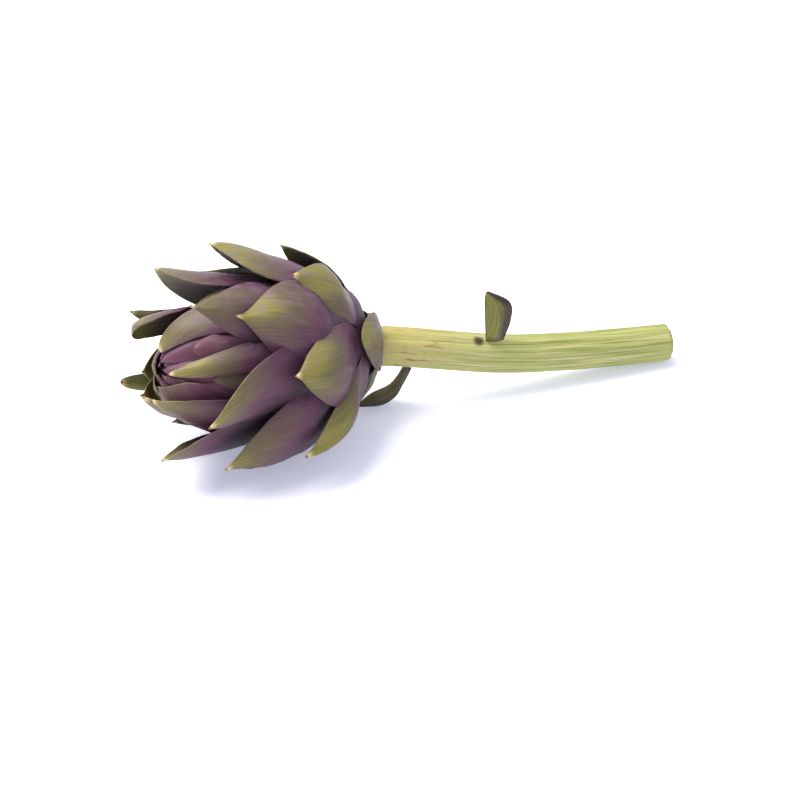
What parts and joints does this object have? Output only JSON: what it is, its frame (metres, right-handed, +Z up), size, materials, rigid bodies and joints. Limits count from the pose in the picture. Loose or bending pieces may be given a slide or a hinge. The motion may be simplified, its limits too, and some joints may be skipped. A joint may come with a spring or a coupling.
{
  "type": "artichoke",
  "caption": "Small violet artichoke lying on its side: a closed head of overlapping pointed bracts on a cut ribbed stem with small stem leaves",
  "frame": {"origin": "on the surface the artichoke lies on, under the middle of its outline seen from above", "axes": "+X runs from the tip of the head to the cut end of the stem, +Z is up"},
  "size_m": [0.1928, 0.072, 0.0691],
  "materials": {
    "bracts": "violet leaf skin with a matt waxy bloom, grey-green to yellow-green towards the thorny tips",
    "stem": "pale green ribbed stalk with whitish fibres and brown scars, satin",
    "stem_leaf": "olive leaf, dark purple-brown on the outside and at its edges, matt"
  },
  "bodies": {
    "root": {"head": "bracts", "stem": "stem", "stem_leaf_upper": "stem_leaf", "stem_leaf_lower": "stem_leaf"}
  },
  "joints": []
}
